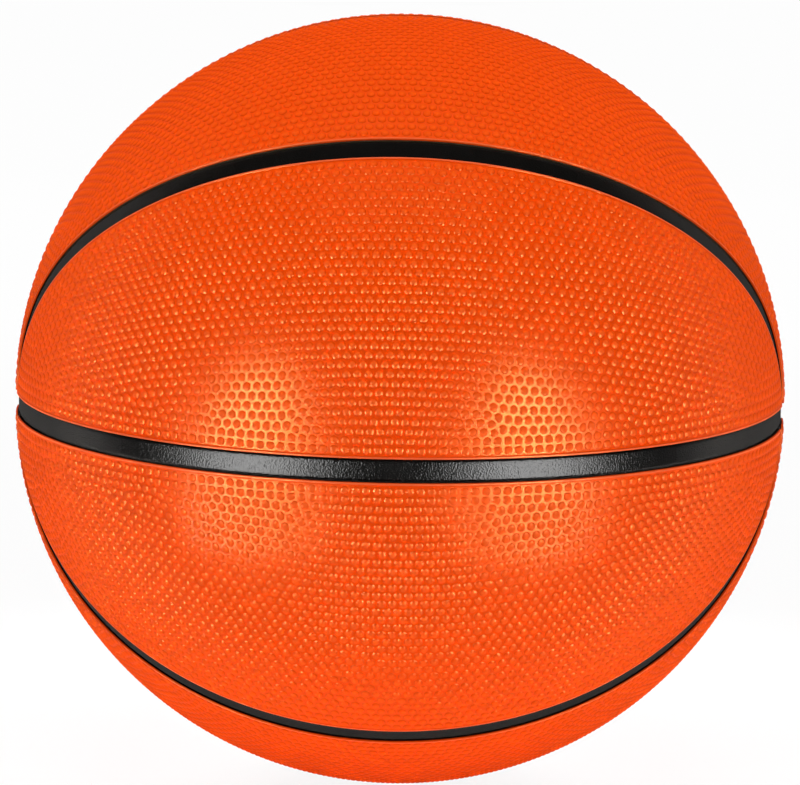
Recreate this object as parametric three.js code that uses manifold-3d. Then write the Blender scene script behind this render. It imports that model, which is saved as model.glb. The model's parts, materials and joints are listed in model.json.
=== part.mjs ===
// A size 7 basketball: eight cover panels with strips in the channels between them, laid on a rubber
// carcass over a wound layer and an air-tight bladder, with a needle valve in one of the panels.
// Millimetres, +Z up, origin at the centre of the ball. The front oval faces -Y, the back oval +Y, and
// the equator channel lies in the plane z = 0.
import * as THREE from "three";
import { mergeVertices } from "three/addons/utils/BufferGeometryUtils.js";
import Module from "manifold-3d";

const wasm = await Module();
wasm.setup();

// Ball and its layers, from the outside in
const BALL_DIAMETER = 242; // over the cover
const COVER_THICKNESS = 1.7;
const COVER_EDGE_RADIUS = 0.8; // rounding of a panel's edge beside a channel
const CARCASS_THICKNESS = 0.6;
const WINDING_THICKNESS = 0.4;
const BLADDER_THICKNESS = 0.6;
const FIT_GAP = 0.3; // between pieces that touch

// Channels between the panels
const CHANNEL_WIDTH = 6.2;
const STRIP_THICKNESS = 0.5;

// Oval seam, as lengths along the ball's surface
const OVAL_HALF_HEIGHT = 98.5; // from the middle of the oval to its upper edge
const OVAL_TO_MERIDIAN = 20; // along the equator, from the oval's end to the meridian seam

// Valve in the upper half of the back oval
const VALVE_ELEVATION = 22; // degrees above the equator
const VALVE_RECESS = 0.3; // of its face below the cover
const NECK_DIAMETER = 9;
const FLANGE_DIAMETER = 32;
const FLANGE_THICKNESS = 1.5; // at its rim
const BOSS_DIAMETER = 12;
const BOSS_LENGTH = 8; // below the flange
const PLUG_HEAD_DIAMETER = 6;
const PLUG_HEAD_HEIGHT = 2;
const PLUG_SHANK_DIAMETER = 3.8;
const PLUG_LENGTH = 13;
const PLUG_TAPER = 1.2; // chamfer of the plug's inner end
const PLUG_EDGE = 0.3; // chamfer of the plug's head
const NEEDLE_BORE_DIAMETER = 1.8;
const NEEDLE_BORE_DEPTH = 9;
const NEEDLE_LEAD_IN = 0.4; // chamfer of the bore's mouth

// Fineness of the facets
const STATIONS = 28; // steps along half an oval
const OVAL_ROWS = 6;
const BAND_ROWS = 6;
const STRIP_ROWS = 1;
const EDGE_STEPS = 2; // of a panel's rounded edge
const SHELL_DETAIL = 4;
const RING_STEPS = 56;
const VALVE_STEPS = 20;

// Sizes that follow from the above
const COVER_OUTSIDE = BALL_DIAMETER / 2;
const COVER_INSIDE = COVER_OUTSIDE - COVER_THICKNESS;
const STRIP_OUTSIDE = COVER_INSIDE + STRIP_THICKNESS;
const HALF_CHANNEL = CHANNEL_WIDTH / 2;
const HALF_STRIP = HALF_CHANNEL - FIT_GAP;
const OVAL_HALF_LENGTH = (Math.PI / 2) * COVER_OUTSIDE - OVAL_TO_MERIDIAN;

// The angle at the ball's centre that spans a length along its surface
const angleOf = (length) => length / COVER_OUTSIDE;

// A unit vector by its angle from -Y and its turn about that axis, from +X towards +Z
function polar(turn, distance) {
  const radius = Math.sin(distance);
  return new THREE.Vector3(radius * Math.cos(turn), -Math.cos(distance), radius * Math.sin(turn));
}

// The oval seam's angle from -Y: an ellipse drawn in polar coordinates on the sphere, moved outwards
// square to itself by a distance along the surface
function ovalEdge(outwards) {
  const halfLength = angleOf(OVAL_HALF_LENGTH);
  const halfHeight = angleOf(OVAL_HALF_HEIGHT);
  return (turn) => {
    const along = Math.cos(turn) / halfLength;
    const up = Math.sin(turn) / halfHeight;
    const distance = 1 / Math.hypot(along, up);
    const change = distance ** 3 * (along * Math.sin(turn) / halfLength - up * Math.cos(turn) / halfHeight);
    const slope = change / Math.sin(distance);
    return distance + angleOf(outwards) * Math.hypot(1, slope);
  };
}

// The great circle between the front and back halves, moved backwards along the surface
const meridianEdge = (backwards) => () => Math.PI / 2 + angleOf(backwards);

// Points along the upper half of an edge, from its end above the equator channel on the +X side to its
// end on the -X side. The inner points keep the same turns on every edge, so neighbours stay parallel.
function edgePoints(edge, inset) {
  const height = Math.sin(angleOf(HALF_CHANNEL + inset));
  const settlingSteps = 12;
  let start = 0;
  for (let i = 0; i < settlingSteps; i++) {
    start = Math.asin(height / Math.sin(edge(start)));
  }
  const turns = [start];
  for (let i = 1; i < STATIONS; i++) {
    turns.push((i * Math.PI) / STATIONS);
  }
  turns.push(Math.PI - start);
  return turns.map((turn) => polar(turn, edge(turn)));
}

// The points of the equator channel's upper side that lie straight below the given ones
function equatorPoints(above, inset) {
  const height = angleOf(HALF_CHANNEL + inset);
  return above.map((point) => {
    const longitude = Math.atan2(point.x, -point.y);
    const level = Math.cos(height);
    return new THREE.Vector3(
      level * Math.sin(longitude),
      -level * Math.cos(longitude),
      Math.sin(height),
    );
  });
}

// A grid of unit vectors between two lines of points
function gridBetween(near, far, rows) {
  return near.map((start, i) => {
    const column = [];
    for (let j = 0; j <= rows; j++) {
      column.push(start.clone().lerp(far[i], j / rows).normalize());
    }
    return column;
  });
}

// Grids of the upper front pieces, as a function of how far their edges are drawn in
function ovalPanelGrid(inset) {
  const top = edgePoints(ovalEdge(-HALF_CHANNEL - inset), inset);
  return gridBetween(equatorPoints(top, inset), top, OVAL_ROWS);
}

function bandPanelGrid(inset) {
  const near = edgePoints(ovalEdge(HALF_CHANNEL + inset), inset);
  const far = edgePoints(meridianEdge(-HALF_CHANNEL - inset), inset);
  return gridBetween(near, far, BAND_ROWS);
}

function ovalStripGrid(inset) {
  const near = edgePoints(ovalEdge(inset - HALF_STRIP), inset);
  const far = edgePoints(ovalEdge(HALF_STRIP - inset), inset);
  return gridBetween(near, far, STRIP_ROWS);
}

function meridianStripGrid(inset) {
  const near = edgePoints(meridianEdge(inset - HALF_STRIP), inset);
  const far = edgePoints(meridianEdge(HALF_STRIP - inset), inset);
  return gridBetween(near, far, STRIP_ROWS);
}

// The corners of a grid's triangles, facing away from the centre
function gridTriangles(grid) {
  const triangles = [];
  for (let i = 0; i + 1 < grid.length; i++) {
    for (let j = 0; j + 1 < grid[i].length; j++) {
      const [a, b] = [grid[i][j], grid[i][j + 1]];
      const [c, d] = [grid[i + 1][j], grid[i + 1][j + 1]];
      triangles.push([a, b, c], [b, d, c]);
    }
  }
  return triangles;
}

// A grid's border, clockwise as seen from outside the ball
function gridBorder(grid) {
  const last = grid.at(-1);
  const near = grid.map((column) => column[0]);
  const far = grid.map((column) => column.at(-1));
  return [...near, ...last.slice(1), ...far.reverse().slice(1), ...grid[0].slice(1, -1).reverse()];
}

// Whether a triangle's corners are three different points
function hasArea([a, b, c]) {
  const samePoint = 1e-6;
  return Math.min(a.distanceTo(b), b.distanceTo(c), c.distanceTo(a)) > samePoint;
}

// One closed surface from loose triangles: corners that meet are shared, and collapsed triangles dropped
function closedSurface(triangles) {
  const positions = triangles.filter(hasArea).flat().flatMap((point) => point.toArray());
  const loose = new THREE.BufferGeometry();
  loose.setAttribute("position", new THREE.Float32BufferAttribute(positions, 3));
  const surface = mergeVertices(loose);
  surface.computeVertexNormals();
  return surface;
}

// A plate that follows the ball. Its profile lists inset and radius from the under side to the top.
function curvedPlate(gridAt, profile) {
  const layers = profile.map(([inset, radius]) =>
    gridAt(inset).map((column) => column.map((point) => point.multiplyScalar(radius))),
  );
  const underside = gridTriangles(layers[0]).map(([a, b, c]) => [a, c, b]);
  const triangles = [...underside, ...gridTriangles(layers.at(-1))];
  const borders = layers.map(gridBorder);
  for (let i = 0; i + 1 < borders.length; i++) {
    const [lower, upper] = [borders[i], borders[i + 1]];
    lower.forEach((point, k) => {
      const next = (k + 1) % lower.length;
      triangles.push([point, upper[k], upper[next]], [point, upper[next], lower[next]]);
    });
  }
  return closedSurface(triangles);
}

// A panel's profile: a straight wall up to a rounded edge
function panelProfile() {
  const profile = [[0, COVER_INSIDE]];
  for (let i = 0; i <= EDGE_STEPS; i++) {
    const turn = (i / EDGE_STEPS) * (Math.PI / 2);
    const drawnIn = COVER_EDGE_RADIUS * (1 - Math.cos(turn));
    const lowered = COVER_EDGE_RADIUS * (1 - Math.sin(turn));
    profile.push([drawnIn, COVER_OUTSIDE - lowered]);
  }
  return profile;
}

// How near to the centre the flattest triangle comes, as a share of the radius of its corners
function flatness(triangles) {
  const centre = new THREE.Vector3();
  const nearest = new THREE.Vector3();
  const distances = triangles
    .filter(hasArea)
    .map((corners) => new THREE.Triangle(...corners).closestPointToPoint(centre, nearest).length());
  return Math.min(...distances);
}

// Solids for cutting and joining
function solidOf(geometry) {
  const bare = geometry.clone();
  bare.deleteAttribute("normal");
  bare.deleteAttribute("uv");
  const merged = mergeVertices(bare);
  return new wasm.Manifold(
    new wasm.Mesh({
      numProp: 3,
      vertProperties: merged.attributes.position.array,
      triVerts: new Uint32Array(merged.index.array),
    }),
  );
}

function geometryOf(solid) {
  const mesh = solid.getMesh();
  const geometry = new THREE.BufferGeometry();
  geometry.setAttribute("position", new THREE.BufferAttribute(mesh.vertProperties, 3));
  geometry.setIndex(new THREE.BufferAttribute(mesh.triVerts, 1));
  geometry.computeVertexNormals();
  return geometry;
}

// Layers under the cover. Flat facets cut below the round surface, so the carcass starts below the
// deepest facet of the panels and strips. The layers share one set of facets and stay parallel.
const plateGrids = [ovalPanelGrid, bandPanelGrid, ovalStripGrid, meridianStripGrid];
const COVER_FLATNESS = Math.min(...plateGrids.map((gridAt) => flatness(gridTriangles(gridAt(0)))));
const CARCASS_OUTSIDE = COVER_INSIDE * COVER_FLATNESS - FIT_GAP;
const CARCASS_INSIDE = CARCASS_OUTSIDE - CARCASS_THICKNESS;
const WINDING_OUTSIDE = CARCASS_INSIDE - FIT_GAP;
const WINDING_INSIDE = WINDING_OUTSIDE - WINDING_THICKNESS;
const BLADDER_OUTSIDE = WINDING_INSIDE - FIT_GAP;
const BLADDER_INSIDE = BLADDER_OUTSIDE - BLADDER_THICKNESS;

const ballOf = (radius) => new THREE.IcosahedronGeometry(radius, SHELL_DETAIL);

function ballTriangles() {
  const position = ballOf(1).getAttribute("position");
  const corner = (i) => new THREE.Vector3().fromBufferAttribute(position, i);
  const triangles = [];
  for (let i = 0; i < position.count; i += 3) {
    triangles.push([corner(i), corner(i + 1), corner(i + 2)]);
  }
  return triangles;
}

// Valve levels, as distances from the ball's centre along the valve's axis
const VALVE_TILT = THREE.MathUtils.degToRad(VALVE_ELEVATION);
const VALVE_FACE = COVER_OUTSIDE * COVER_FLATNESS - VALVE_RECESS;
const SEAT_FACE = BLADDER_INSIDE - FIT_GAP; // what the flange lies against
const FLANGE_RIM = Math.sqrt((SEAT_FACE * flatness(ballTriangles())) ** 2 - (FLANGE_DIAMETER / 2) ** 2);
const FLANGE_UNDERSIDE = FLANGE_RIM - FLANGE_THICKNESS;
const BOSS_END = Math.min(FLANGE_UNDERSIDE - BOSS_LENGTH, VALVE_FACE - PLUG_LENGTH - FIT_GAP);

// A solid of revolution about the valve's axis from its outline of radius and level
function turned(outline) {
  const points = outline.map(([radius, level]) => new THREE.Vector2(radius, level));
  return new THREE.LatheGeometry(points, VALVE_STEPS);
}

// A round rod along the valve's axis
function rod(diameter, low, high) {
  const radius = diameter / 2;
  return turned([[0, low], [radius, low], [radius, high], [0, high]]);
}

// The rod that the valve's neck passes through the layers in, turned into the ball's own frame
function neckHole() {
  return solidOf(rod(NECK_DIAMETER + 2 * FIT_GAP, BOSS_END, BALL_DIAMETER).rotateX(VALVE_TILT));
}

function layerGeometry(outside, inside) {
  return geometryOf(solidOf(ballOf(outside)).subtract(solidOf(ballOf(inside))).subtract(neckHole()));
}

// The flange and boss follow the inside of the bladder, and the neck stands on them
function valveSeatGeometry() {
  const bladderBore = solidOf(ballOf(SEAT_FACE).rotateX(-VALVE_TILT));
  const flange = solidOf(rod(FLANGE_DIAMETER, FLANGE_UNDERSIDE, VALVE_FACE));
  const boss = solidOf(rod(BOSS_DIAMETER, BOSS_END, VALVE_FACE));
  const neck = solidOf(rod(NECK_DIAMETER, BOSS_END, VALVE_FACE));
  const headHole = rod(
    PLUG_HEAD_DIAMETER + 2 * FIT_GAP,
    VALVE_FACE - PLUG_HEAD_HEIGHT - FIT_GAP,
    BALL_DIAMETER,
  );
  const shankHole = rod(PLUG_SHANK_DIAMETER + 2 * FIT_GAP, 0, BALL_DIAMETER);
  const seat = flange.add(boss).intersect(bladderBore).add(neck);
  return geometryOf(seat.subtract(solidOf(headHole)).subtract(solidOf(shankHole)));
}

function valvePlugGeometry() {
  const inner = VALVE_FACE - PLUG_LENGTH;
  const shoulder = VALVE_FACE - PLUG_HEAD_HEIGHT;
  const head = PLUG_HEAD_DIAMETER / 2;
  const shank = PLUG_SHANK_DIAMETER / 2;
  const bore = NEEDLE_BORE_DIAMETER / 2;
  return turned([
    [0, inner],
    [shank - PLUG_TAPER / 2, inner],
    [shank, inner + PLUG_TAPER],
    [shank, shoulder],
    [head, shoulder],
    [head, VALVE_FACE - PLUG_EDGE],
    [head - PLUG_EDGE, VALVE_FACE],
    [bore + NEEDLE_LEAD_IN, VALVE_FACE],
    [bore, VALVE_FACE - NEEDLE_LEAD_IN],
    [bore, VALVE_FACE - NEEDLE_BORE_DEPTH],
    [0, VALVE_FACE - NEEDLE_BORE_DEPTH],
  ]);
}

// A ring round the equator, with its sides along the ball's radii
function equatorStripGeometry() {
  const side = angleOf(HALF_STRIP);
  const corner = (radius, angle) =>
    new THREE.Vector2(radius * Math.cos(angle), radius * Math.sin(angle));
  const outline = [
    corner(COVER_INSIDE, -side),
    corner(STRIP_OUTSIDE, -side),
    corner(STRIP_OUTSIDE, side),
    corner(COVER_INSIDE, side),
    corner(COVER_INSIDE, -side),
  ];
  return new THREE.LatheGeometry(outline, RING_STEPS).rotateX(Math.PI / 2);
}

// Finishes
const orangeCover = () => new THREE.MeshStandardMaterial({ color: 0xf0560f, roughness: 0.5 });
const blackRubber = () => new THREE.MeshStandardMaterial({ color: 0x1c1917, roughness: 0.4 });
const carcassRubber = () => new THREE.MeshStandardMaterial({ color: 0x2b2724, roughness: 0.8 });
const nylonThread = () => new THREE.MeshStandardMaterial({ color: 0xe4dfd2, roughness: 0.7 });
const butylRubber = () => new THREE.MeshStandardMaterial({ color: 0x202224, roughness: 0.6 });

const ball = new THREE.Group();

function addPiece(parent, name, geometry, material) {
  const piece = new THREE.Mesh(geometry, material);
  piece.name = name;
  parent.add(piece);
  return piece;
}

// The upper front pieces, and their copies turned half round the ball's axes
const quarters = {
  front_upper: [0, 0, 0],
  front_lower: [0, Math.PI, 0],
  back_upper: [0, 0, Math.PI],
  back_lower: [Math.PI, 0, 0],
};
const stripProfile = [[0, COVER_INSIDE], [0, STRIP_OUTSIDE]];
for (const [quarter, turn] of Object.entries(quarters)) {
  const ovalPanel = curvedPlate(ovalPanelGrid, panelProfile());
  const bandPanel = curvedPlate(bandPanelGrid, panelProfile());
  const ovalStrip = curvedPlate(ovalStripGrid, stripProfile);
  const pieces = [
    addPiece(ball, quarter + "_oval_panel", ovalPanel, orangeCover()),
    addPiece(ball, quarter + "_band_panel", bandPanel, orangeCover()),
    addPiece(ball, quarter + "_oval_strip", ovalStrip, blackRubber()),
  ];
  pieces.forEach((piece) => piece.rotation.set(...turn));
}
const meridianStrip = curvedPlate(meridianStripGrid, stripProfile);
addPiece(ball, "upper_meridian_strip", meridianStrip, blackRubber());
addPiece(ball, "lower_meridian_strip", meridianStrip, blackRubber()).rotation.y = Math.PI;
addPiece(ball, "equator_strip", equatorStripGeometry(), blackRubber());

// The valve's hole through its panel, cut in the panel's own turned frame
const valvePanel = ball.getObjectByName("back_upper_oval_panel");
const panelHole = solidOf(geometryOf(neckHole()).rotateZ(-valvePanel.rotation.z));
valvePanel.geometry = geometryOf(solidOf(valvePanel.geometry).subtract(panelHole));

addPiece(ball, "carcass", layerGeometry(CARCASS_OUTSIDE, CARCASS_INSIDE), carcassRubber());
addPiece(ball, "nylon_winding", layerGeometry(WINDING_OUTSIDE, WINDING_INSIDE), nylonThread());
addPiece(ball, "bladder", layerGeometry(BLADDER_OUTSIDE, BLADDER_INSIDE), butylRubber());

const valve = new THREE.Group();
valve.rotation.x = VALVE_TILT;
addPiece(valve, "valve_seat", valveSeatGeometry(), butylRubber());
addPiece(valve, "valve_plug", valvePlugGeometry(), butylRubber());
ball.add(valve);

export default ball;
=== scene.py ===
"""A basketball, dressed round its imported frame: pebbled cover panels with a raised bead along each channel,
grained strips in the channels, the layers under the cover and the needle valve, on a plain studio floor.

Everything is in metres, +Z up, with the ball's centre at the origin and its front oval facing -Y.
"""

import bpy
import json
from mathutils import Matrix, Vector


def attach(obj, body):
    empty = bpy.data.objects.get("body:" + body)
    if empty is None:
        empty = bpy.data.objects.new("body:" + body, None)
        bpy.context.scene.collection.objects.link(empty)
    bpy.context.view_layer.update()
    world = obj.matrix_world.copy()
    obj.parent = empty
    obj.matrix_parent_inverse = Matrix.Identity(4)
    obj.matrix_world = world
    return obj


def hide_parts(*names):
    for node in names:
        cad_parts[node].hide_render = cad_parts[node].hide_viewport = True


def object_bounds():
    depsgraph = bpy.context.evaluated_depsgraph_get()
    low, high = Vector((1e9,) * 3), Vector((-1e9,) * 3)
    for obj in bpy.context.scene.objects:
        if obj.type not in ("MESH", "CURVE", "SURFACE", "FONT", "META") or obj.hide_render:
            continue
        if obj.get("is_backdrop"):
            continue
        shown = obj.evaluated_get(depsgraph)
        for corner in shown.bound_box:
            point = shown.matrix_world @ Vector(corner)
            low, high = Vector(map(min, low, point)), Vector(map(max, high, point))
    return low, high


bl_info = {
    "name": "Basketball",
    "version": (1, 0, 0),
    "blender": (4, 5, 0),
    "location": "3D View > Sidebar > Ball",
    "description": "Builds a pebbled basketball and its studio round the ball's packed frame",
    "category": "Add Mesh",
}

import json
import math

import bmesh
import bpy
from bpy.props import FloatProperty, FloatVectorProperty, PointerProperty
from mathutils import Matrix, Quaternion, Vector
from mathutils.geometry import delaunay_2d_cdt
from mathutils.kdtree import KDTree

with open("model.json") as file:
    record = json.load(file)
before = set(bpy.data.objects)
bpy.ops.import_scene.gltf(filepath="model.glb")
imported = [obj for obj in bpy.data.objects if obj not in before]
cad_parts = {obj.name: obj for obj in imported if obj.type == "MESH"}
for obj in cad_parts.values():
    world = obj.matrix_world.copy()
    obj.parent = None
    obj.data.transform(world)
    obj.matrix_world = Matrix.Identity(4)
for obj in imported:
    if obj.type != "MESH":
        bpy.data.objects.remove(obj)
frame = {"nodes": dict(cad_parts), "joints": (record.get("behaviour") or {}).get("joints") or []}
cad_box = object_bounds()

MM = 0.001
UP = Vector((0, 0, 1))


def reach(node, pick):
    """The nearest or farthest that a node's corners come to the ball's centre."""
    return pick(vertex.co.length for vertex in frame["nodes"][node].data.vertices)


COVER_OUTSIDE = reach("front_upper_oval_panel", max)
COVER_INSIDE = reach("front_upper_oval_panel", min)
STRIP_OUTSIDE = reach("equator_strip", max)
VALVE_AXIS = Vector(frame["joints"][0]["axis"]).normalized()

# Half turns that carry the upper front quarter's pieces to the other quarters
QUARTERS = {
    "front_upper": Matrix.Identity(4),
    "front_lower": Matrix.Rotation(math.pi, 4, "Y"),
    "back_upper": Matrix.Rotation(math.pi, 4, "Z"),
    "back_lower": Matrix.Rotation(math.pi, 4, "X"),
}
VALVE_QUARTER = "back_upper"

# Fineness of the meshes
EDGE_STEP = 1.2 * MM  # between the points along a panel's edge
STRIP_STEP = 1.0 * MM
STRIP_ROWS = 14
RING_STEPS = 720  # of the equator strip
LAYER_STEPS = 96
VALVE_STEPS = 64
SETTLING_STEPS = 12  # to find where an edge meets the equator channel
RELAX_STEPS = 60  # to even out the pebbles
LINE_SAMPLES = 600  # to measure a side's length
CROWN_STEPS = 8  # of the valve flange's round top
WELD = 0.001 * MM  # within which points are merged
SMOOTH_UP_TO = math.radians(35)  # between the two faces of a smooth edge
ROUND_FROM = math.radians(30)  # between the two faces of an edge that gets rounded

OVAL_RUN = 1.15  # length of an oval channel, as a share of the meridian's
FLOOR_GAP = 5 * MM  # under a lamp that stands on the floor


def number(name, description, default, **kind):
    """A plain number property, or one of another kind."""
    return FloatProperty(name=name, description=description, default=default, **kind)


def length(name, description, metres):
    """A size property."""
    return number(name, description, metres, unit="LENGTH", precision=5)


def angle(name, description, degrees):
    """An angle property."""
    return number(name, description, math.radians(degrees), unit="ROTATION", subtype="ANGLE")


def power(name, description, watts):
    """A lamp's power property."""
    return number(name, description, watts, unit="POWER")


def colour(name, description, rgb):
    """A colour property, as linear red, green and blue."""
    return FloatVectorProperty(
        name=name, description=description, default=rgb, subtype="COLOR", size=3, min=0, max=1
    )


class BALL_PG_cover(bpy.types.PropertyGroup):
    """Sizes of the cover and its channels, along the ball's surface."""

    radius: length("Ball radius", "Over the tops of the pebbles", COVER_OUTSIDE)
    inside: length("Cover inside", "Radius of the panels' under side", COVER_INSIDE)
    strip_radius: length("Strip radius", "Over the channel strips", STRIP_OUTSIDE)
    channel_width: length("Channel width", "From wall to wall", 6.9 * MM)
    strip_gap: length("Strip gap", "Between a channel strip and the walls", 0.3 * MM)
    strip_hollow: length("Strip hollow", "How far the middle of a strip dips", 0.05 * MM)
    shoulder_width: length("Shoulder width", "Of the round shoulder along a strip's sides", 0.75 * MM)
    shoulder_drop: length("Shoulder drop", "From a strip's face to its sides", 0.4 * MM)
    oval_half_height: length("Oval half height", "From the oval's middle to its upper seam", 98.5 * MM)
    oval_to_meridian: length("Oval to meridian", "From the oval's end to the meridian seam", 20 * MM)
    pebble_pitch: length("Pebble pitch", "From one pebble to the next", 3.1 * MM)
    pebble_height: length("Pebble height", "Above the land between the pebbles", 0.5 * MM)
    land_width: length("Land width", "Of the land between two pebbles", 0.58 * MM)
    first_row: length("First row", "From a channel's wall to the nearest pebbles' middles", 2.45 * MM)
    row_step: length("Row step", "From the first row along a wall to the second", 2.65 * MM)
    bead_width: length("Bead width", "Of the smooth bead along a panel's edge", 0.75 * MM)
    bead_height: length("Bead height", "Of that bead above the land", 0.26 * MM)


class BALL_PG_valve(bpy.types.PropertyGroup):
    """Sizes of the needle valve."""

    face: length("Face level", "From the ball's centre to the valve's face", reach("valve_plug", max))
    neck_radius: length("Neck radius", "Of the housing where it shows in the cover", 4.5 * MM)
    hole_radius: length("Hole radius", "Of the hole in the layers round the neck", 4.8 * MM)
    flange_radius: length("Flange radius", "Of the flange under the bladder", 16 * MM)
    flange_thickness: length("Flange thickness", "At its rim", 1.5 * MM)
    boss_radius: length("Boss radius", "Of the housing's inner end", 6 * MM)
    boss_length: length("Boss length", "Below the flange", 8 * MM)
    plug_head_radius: length("Plug head radius", "Of the plug where it shows", 3 * MM)
    plug_head_height: length("Plug head height", "Of the plug's head", 2 * MM)
    plug_shank_radius: length("Plug shank radius", "Of the plug below its head", 1.9 * MM)
    plug_length: length("Plug length", "From its face to its inner end", 13 * MM)
    plug_taper: length("Plug taper", "Of the plug's inner end", 1.2 * MM)
    fit_gap: length("Fit gap", "Between the plug and the housing", 0.3 * MM)
    needle_radius: length("Needle bore radius", "Of the bore that takes the pump's needle", 0.9 * MM)
    needle_depth: length("Needle bore depth", "Of that bore", 9 * MM)
    edge: length("Edge rounding", "Of the valve's edges", 0.15 * MM)


class BALL_PG_finish(bpy.types.PropertyGroup):
    """Colours of the ball's materials."""

    cover: colour("Cover", "Orange of the pebbles and beads", (0.86, 0.079, 0.002))
    # Painted shade: the land between the pebbles gets a deeper orange than the pebbles' tops
    land: colour("Land", "Deeper orange between the pebbles", (0.84, 0.066, 0.001))
    # Painted highlight: the salmon stands in for light caught along the crest of each bead
    bead: colour("Bead", "Salmon of the worn crest of a panel's bead", (0.9, 0.22, 0.1))
    # Painted shade: the brown darkens the crease round the foot of each pebble
    crease: colour("Crease", "Brown of the crease round each pebble", (0.3, 0.016, 0.001))
    cover_gloss: colour("Cover gloss", "Warm tint of the cover's highlights", (1.0, 0.6, 0.2))
    channel: colour("Channel", "Black of the channel strips", (0.0036, 0.0033, 0.003))
    carcass: colour("Carcass", "Black of the carcass rubber", (0.022, 0.02, 0.019))
    thread: colour("Thread", "Off-white of the nylon thread", (0.62, 0.58, 0.5))
    bladder: colour("Bladder", "Black of the bladder rubber", (0.016, 0.017, 0.018))
    valve: colour("Valve", "Black of the valve rubber", (0.014, 0.014, 0.015))


class BALL_PG_studio(bpy.types.PropertyGroup):
    """Camera, lamps and floor."""

    azimuth: angle("Azimuth", "Of the camera round the ball", 0.66)
    elevation: angle("Elevation", "Of the camera above the ball's middle", 9.86)
    roll: angle("Roll", "Of the camera about its own axis", 0.89)
    distance: length("Distance", "Of the camera from the ball's middle", 1.1)
    lens: number("Lens", "Focal length in millimetres", 156.6)
    shift: number("Shift", "Of the picture upwards, as a share of its width", 0.0074)
    left_turn: angle("Left turn", "Of the left softbox from the camera's azimuth", -36)
    right_turn: angle("Right turn", "Of the right softbox from the camera's azimuth", 32)
    softbox_power: power("Softbox power", "Of each softbox", 0.13)
    glint_power: power("Glint power", "Of each lamp that only shows as a highlight of a softbox", 9.0)
    top_power: power("Top power", "Of the overhead fill", 22.0)
    side_power: power("Side power", "Of each fill beside the ball", 4.8)
    front_power: power("Front power", "Of the fill before the ball and the one behind it", 2.8)
    foot_power: power("Foot power", "Of each fill on the floor beside the ball", 0.006)
    world: number("World", "Strength of the even light from all round", 0.12)
    floor: colour("Floor", "White of the floor", (0.9, 0.9, 0.9))


# Seams of the upper front quarter. Lengths run along the cover's surface, and points are unit vectors.


def cover_sizes():
    """The cover's properties."""
    return bpy.context.scene.ball_cover


def angle_of(distance):
    """The angle at the ball's centre that spans a distance along its surface."""
    return distance / cover_sizes().radius


def distance_of(turn):
    """The distance along the ball's surface that an angle at its centre spans."""
    return turn * cover_sizes().radius


def polar(turn, distance):
    """A point by its angle from -Y and its turn about that axis, from +X towards +Z."""
    ring = math.sin(distance)
    return Vector((ring * math.cos(turn), -math.cos(distance), ring * math.sin(turn)))


def oval_seam(turn):
    """The oval seam's angle from -Y, and how much longer the seam makes a step across it."""
    cover = cover_sizes()
    half_length = math.pi / 2 - angle_of(cover.oval_to_meridian)
    half_height = angle_of(cover.oval_half_height)
    along = math.cos(turn) / half_length
    up = math.sin(turn) / half_height
    distance = 1 / math.hypot(along, up)
    change = distance**3 * (along * math.sin(turn) / half_length - up * math.cos(turn) / half_height)
    return distance, math.hypot(1, change / math.sin(distance))


def oval_edge(outwards):
    """The oval seam moved outwards by a distance along the surface, as its angle from -Y at a turn."""

    def edge(turn):
        distance, stretch = oval_seam(turn)
        return distance + angle_of(outwards) * stretch

    return edge


def meridian_edge(forwards):
    """The seam between the front and back halves, moved forwards, as its angle from -Y at a turn."""
    return lambda turn: math.pi / 2 - angle_of(forwards)


def along_edge(edge, lift, share):
    """A point on an edge, by its share of the way from the +X end to the -X end above the equator."""
    start = 0.0
    for _ in range(SETTLING_STEPS):
        start = math.asin(math.sin(lift) / math.sin(edge(start)))
    turn = start + share * (math.pi - 2 * start)
    return polar(turn, edge(turn))


def along_equator(first, last, lift, share):
    """A point beside the equator channel, by its share of the way from below one point to below another."""
    start = math.atan2(first.x, -first.y)
    longitude = start + share * (math.atan2(last.x, -last.y) - start)
    level = math.cos(lift)
    return Vector((level * math.sin(longitude), -level * math.cos(longitude), math.sin(lift)))


def equator_room(point):
    """How far a point lies above the middle of the equator channel."""
    return distance_of(math.asin(point.z))


def oval_room(point):
    """How far a point lies outside the middle of the oval channel."""
    distance, stretch = oval_seam(math.atan2(point.z, point.x))
    return distance_of((math.acos(-point.y) - distance) / stretch)


def meridian_room(point):
    """How far a point lies in front of the middle of the meridian channel."""
    return distance_of(math.asin(-point.y))


class PanelOutline:
    """A panel's walls as lines at any distance in from them, and the room at a point."""

    def __init__(self):
        self.half_channel = cover_sizes().channel_width / 2

    def seam_line(self, edge, way, inset, share):
        """A point beside a seam's channel, on one side of it, 1, or the other, -1."""
        wall = self.half_channel + inset
        return along_edge(edge(way * wall), angle_of(wall), share)

    def equator_line(self, first, last, inset, share):
        """A point beside the equator channel, between two corners."""
        return along_equator(first, last, angle_of(self.half_channel + inset), share)


class OvalOutline(PanelOutline):
    """The half oval panel."""

    middle = polar(math.pi / 2, math.radians(22))

    def __init__(self):
        super().__init__()
        self.loops = [[self.oval_side, self.equator_side]]

    def oval_side(self, inset, share):
        return self.seam_line(oval_edge, -1, inset, share)

    def equator_side(self, inset, share):
        return self.equator_line(self.oval_side(inset, 1), self.oval_side(inset, 0), inset, share)

    def room(self, point):
        return min(equator_room(point), -oval_room(point)) - self.half_channel


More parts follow.
